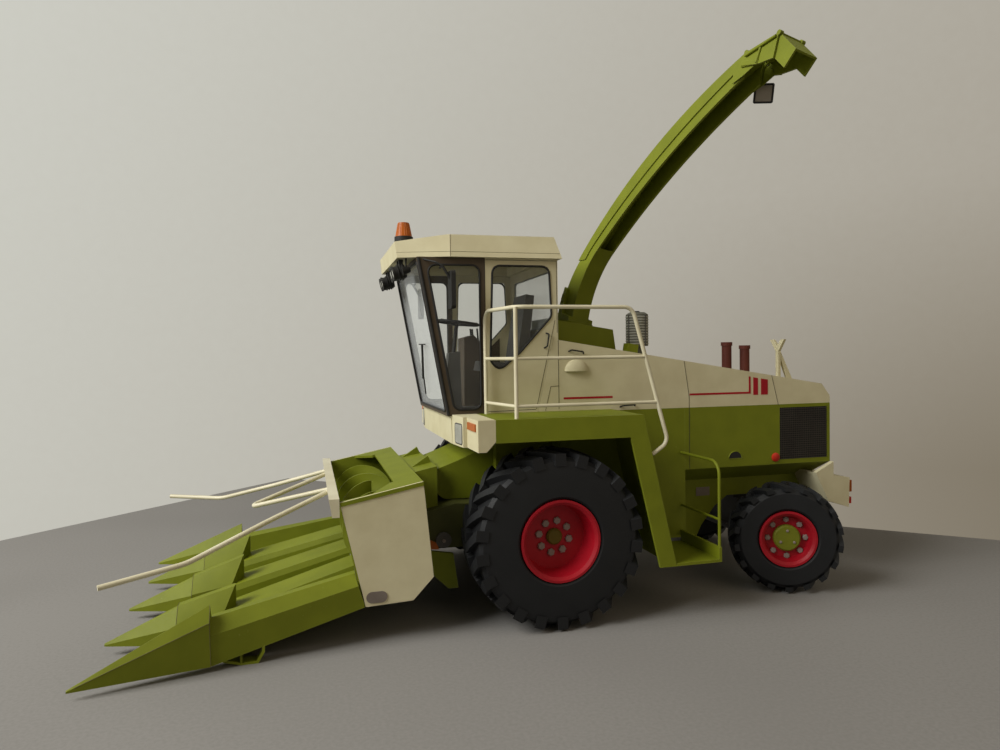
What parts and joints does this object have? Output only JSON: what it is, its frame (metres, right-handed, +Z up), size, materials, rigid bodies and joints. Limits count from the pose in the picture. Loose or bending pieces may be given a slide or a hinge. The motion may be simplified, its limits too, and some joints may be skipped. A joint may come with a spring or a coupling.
{
  "type": "forage harvester scale model",
  "caption": "Card scale model of a self-propelled forage harvester with row-crop header, rolling and steering wheels, slewing discharge spout and folding end flaps.",
  "frame": {"origin": "under the middle of the overall box, on the table that the wheels stand on", "axes": "+X forward towards the header, +Y to the machine's left, +Z up"},
  "size_m": [0.2986, 0.1752, 0.1926],
  "materials": {
    "green_card": "matt printed card",
    "cream_card": "matt printed card",
    "red_card": "matt printed card",
    "tyre_card": "matt printed card, laminated discs",
    "brown_card": "matt printed card",
    "grey_card": "matt printed card",
    "rust_card": "matt printed card",
    "orange_card": "matt printed card",
    "clear_film": "clear acetate film",
    "cream_wire": "painted wire"
  },
  "bodies": {
    "machine": {"air_screen": "green_card", "beacon": "orange_card", "cab_base": "cream_card", "cab_rear_wall": "cream_card", "cab_roof": "cream_card", "cab_windows": "clear_film", "chassis_frame": "green_card", "crop_bar": "cream_wire", "driver_seat": "grey_card", "engine_bay": "green_card", "exhausts": "rust_card", "feeder_housing": "green_card", "front_axle": "green_card", "front_hull": "green_card", "grilles": "grey_card", "header_adapter": "green_card", "header_auger": "green_card", "header_side_plates": "cream_card", "header_skids": "green_card", "header_trough": "green_card", "hood": "cream_card", "inner_divider_1": "green_card", "inner_divider_2": "green_card", "inner_divider_3": "green_card", "left_deck": "green_card", "left_door": "cream_card", "left_outer_divider": "green_card", "left_railing": "cream_wire", "left_steps": "green_card", "light_boxes": "cream_card", "mirror": "grey_card", "parking_feet": "green_card", "quarter_panels": "brown_card", "rear_axle": "grey_card", "rear_bumper": "cream_card", "right_deck": "green_card", "right_door": "cream_card", "right_outer_divider": "green_card", "row_deck": "green_card", "spout_housing": "green_card", "spout_rest": "cream_card", "steering_column": "grey_card", "tow_hitch": "grey_card", "windscreen_frame": "brown_card", "work_lights": "grey_card"},
    "front_left_wheel": {"front_left_tyre": "tyre_card", "front_left_rim": "red_card"},
    "front_right_wheel": {"front_right_tyre": "tyre_card", "front_right_rim": "red_card"},
    "rear_left_wheel": {"rear_left_tyre": "tyre_card", "rear_left_rim": "red_card"},
    "rear_right_wheel": {"rear_right_tyre": "tyre_card", "rear_right_rim": "red_card"},
    "left_steering_knuckle": {"left_knuckle": "grey_card"},
    "right_steering_knuckle": {"right_knuckle": "grey_card"},
    "track_rod_bar": {"track_rod": "grey_card"},
    "discharge_spout": {"spout": "green_card", "spout_lamp": "grey_card"},
    "inner_end_flap": {"inner_flap": "green_card"},
    "outer_end_flap": {"outer_flap": "green_card"}
  },
  "joints": [
    {"name": "front_left_roll", "type": "hinge", "parent": "machine", "child": "front_left_wheel", "pos_m": [-0.00175, 0.03847, 0.03135], "axis": [0, 1, 0], "continuous": true},
    {"name": "front_right_roll", "type": "hinge", "parent": "machine", "child": "front_right_wheel", "pos_m": [-0.00175, -0.07953, 0.03135], "axis": [0, 1, 0], "continuous": true},
    {"name": "left_steer", "type": "hinge", "parent": "machine", "child": "left_steering_knuckle", "pos_m": [-0.10655, 0.01077, 0.0217], "axis": [0, 0, 1], "range_deg": [-3, 47]},
    {"name": "right_steer", "type": "hinge", "parent": "machine", "child": "right_steering_knuckle", "pos_m": [-0.10655, -0.05183, 0.0217], "axis": [0, 0, 1], "range_deg": [-3, 47]},
    {"name": "track_rod_pivot", "type": "hinge", "parent": "left_steering_knuckle", "child": "track_rod_bar", "pos_m": [-0.09821, 0.0074, 0.0207], "axis": [0, 0, 1], "range_deg": [-47, 3]},
    {"name": "rear_left_roll", "type": "hinge", "parent": "left_steering_knuckle", "child": "rear_left_wheel", "pos_m": [-0.10655, 0.01077, 0.0217], "axis": [0.3746, 0.9272, 0], "continuous": true},
    {"name": "rear_right_roll", "type": "hinge", "parent": "right_steering_knuckle", "child": "rear_right_wheel", "pos_m": [-0.10655, -0.05183, 0.0217], "axis": [0.3746, 0.9272, 0], "continuous": true},
    {"name": "spout_slew", "type": "hinge", "parent": "machine", "child": "discharge_spout", "pos_m": [-0.02925, -0.02053, 0.108], "axis": [-0.1633, 0, 0.9866], "range_deg": [-21, 179]},
    {"name": "inner_flap_hinge", "type": "hinge", "parent": "discharge_spout", "child": "inner_end_flap", "pos_m": [-0.06004, 0.06704, 0.18979], "axis": [0.9684, 0.1908, 0.1603], "range_deg": [0, 18]},
    {"name": "outer_flap_hinge", "type": "hinge", "parent": "inner_end_flap", "child": "outer_end_flap", "pos_m": [-0.06277, 0.0799, 0.19096], "axis": [0.9684, 0.1908, 0.1603], "range_deg": [0, 36]}
  ],
  "couplings": [
    {"joint": "right_steer", "follows": "left_steer", "ratio": 1},
    {"joint": "track_rod_pivot", "follows": "left_steer", "ratio": -1}
  ]
}
